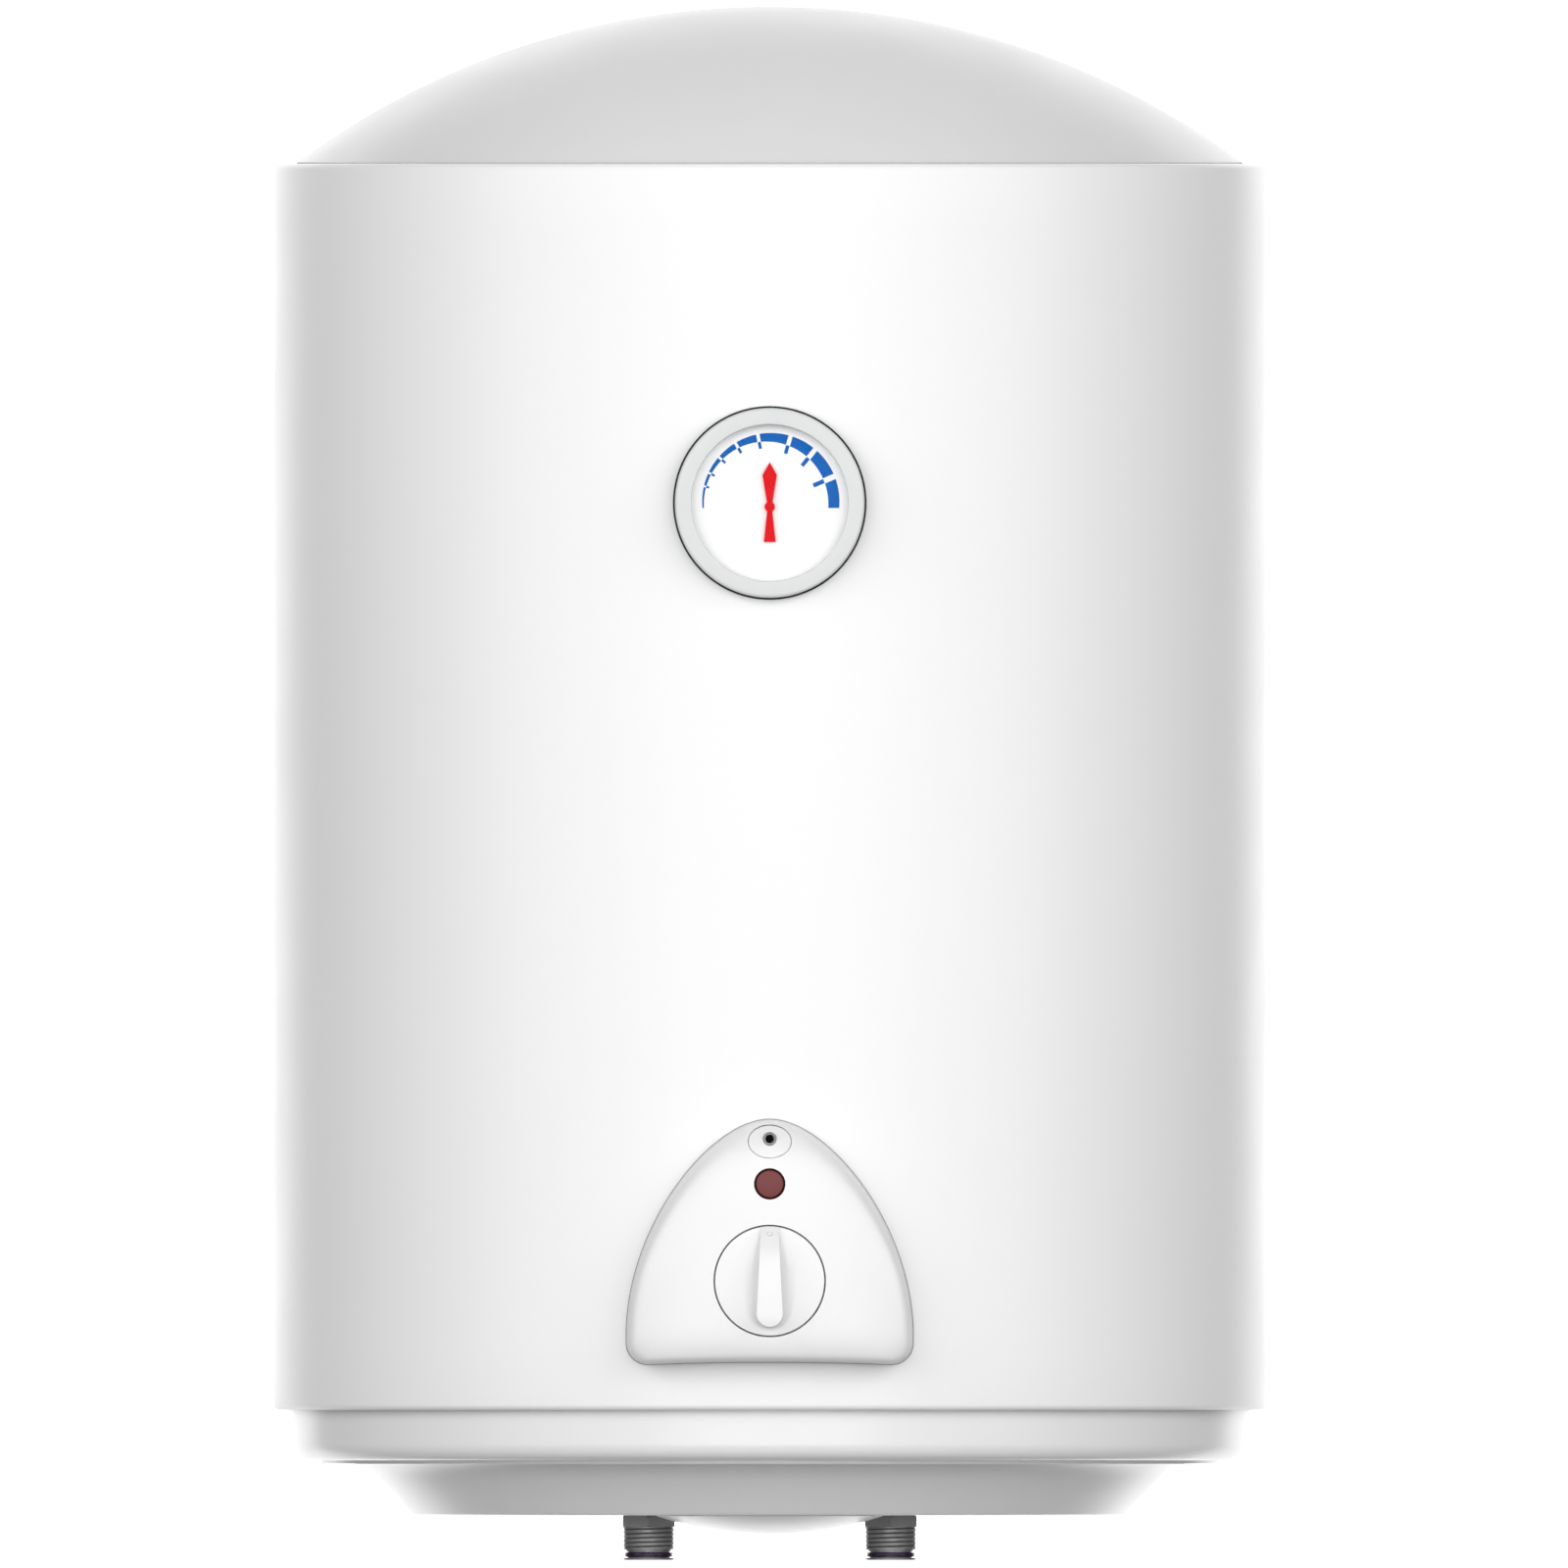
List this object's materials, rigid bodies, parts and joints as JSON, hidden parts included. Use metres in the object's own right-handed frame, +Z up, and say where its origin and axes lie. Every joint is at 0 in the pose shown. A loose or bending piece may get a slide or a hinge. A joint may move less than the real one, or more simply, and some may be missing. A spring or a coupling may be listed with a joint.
{
  "type": "tank water heater",
  "caption": "Wall-hung electric storage water heater: white drum with domed caps, round thermometer, domed control cover with knob and lamp, threaded pipe nipples underneath.",
  "frame": {"origin": "middle of the wall bracket's back plane, where it bears on the wall", "axes": "+Y into the wall, +Z up, the front faces -Y, +X to the right seen from the front"},
  "size_m": [0.41, 0.454, 0.6419],
  "materials": {
    "white_enamel": "glossy stoved enamel",
    "white_plastic": "smooth satin moulding",
    "grey_white_plastic": "smooth matt moulding",
    "foam": "rigid polyurethane foam",
    "tank_enamel": "vitreous enamel",
    "bare_steel": "zinc plated",
    "dark_steel": "dark zinc plated",
    "dark_band": "dark plastic",
    "brass": "turned",
    "copper": "drawn tube",
    "magnesium": "cast",
    "black_rubber": "moulded",
    "black_plastic": "moulded",
    "red_plastic": "moulded",
    "white_ceramic": "fired",
    "clear_glass": "clear",
    "red_lens": "translucent",
    "dial_white": "printed",
    "bezel_grey": "satin moulding",
    "pointer_red": "painted",
    "lamp_orange": "neon lamp"
  },
  "bodies": {
    "heater": {"outer_jacket": "white_enamel", "top_cap": "grey_white_plastic", "bottom_cap": "white_plastic", "insulation_foam": "foam", "service_cover": "white_plastic", "cable_grommet": "black_rubber", "inner_tank": "tank_enamel", "cold_socket": "bare_steel", "hot_socket": "bare_steel", "cold_nipple": "dark_steel", "hot_nipple": "dark_steel", "cold_nipple_band": "dark_band", "hot_nipple_band": "dark_band", "cold_diffuser": "white_plastic", "hot_outlet_tube": "bare_steel", "flange_gasket": "black_rubber", "element_flange": "bare_steel", "flange_bolt_1": "bare_steel", "flange_bolt_2": "bare_steel", "flange_bolt_3": "bare_steel", "flange_bolt_4": "bare_steel", "flange_bolt_5": "bare_steel", "flange_bolt_6": "bare_steel", "heating_element": "copper", "anode_rod": "magnesium", "anode_nut": "bare_steel", "thermowell": "copper", "element_insulator_left": "white_ceramic", "element_insulator_right": "white_ceramic", "element_stud_left": "brass", "element_stud_right": "brass", "safety_cutout": "black_plastic", "control_bracket": "bare_steel", "control_cover": "white_plastic", "cover_screw": "dark_steel", "thermostat_body": "black_plastic", "thermostat_capillary": "copper", "indicator_lens": "red_lens", "indicator_lamp": "lamp_orange", "gauge_case": "black_plastic", "gauge_bezel": "bezel_grey", "gauge_dial": "dial_white", "gauge_glass": "clear_glass", "bimetal_coil": "brass", "wall_bracket": "bare_steel", "lower_wall_spacer": "black_plastic"},
    "knob": {"temperature_knob": "white_plastic", "thermostat_spindle": "bare_steel"},
    "pointer": {"gauge_pointer": "pointer_red", "gauge_spindle": "bare_steel"},
    "reset": {"reset_button": "red_plastic"}
  },
  "joints": [
    {"name": "knob_turn", "type": "hinge", "parent": "heater", "child": "knob", "pos_m": [0, -0.425, -0.3116], "axis": [0, -1, 0], "range_deg": [-135, 135]},
    {"name": "pointer_sweep", "type": "hinge", "parent": "heater", "child": "pointer", "pos_m": [0, -0.425, 0.0082], "axis": [0, -1, 0], "range_deg": [-90, 90], "stiffness_Nm_per_rad": 0.002},
    {"name": "reset_press", "type": "slide", "parent": "heater", "child": "reset", "axis": [0, 0, 1], "range_m": [0, 0.0015], "stiffness_N_per_m": 300}
  ]
}
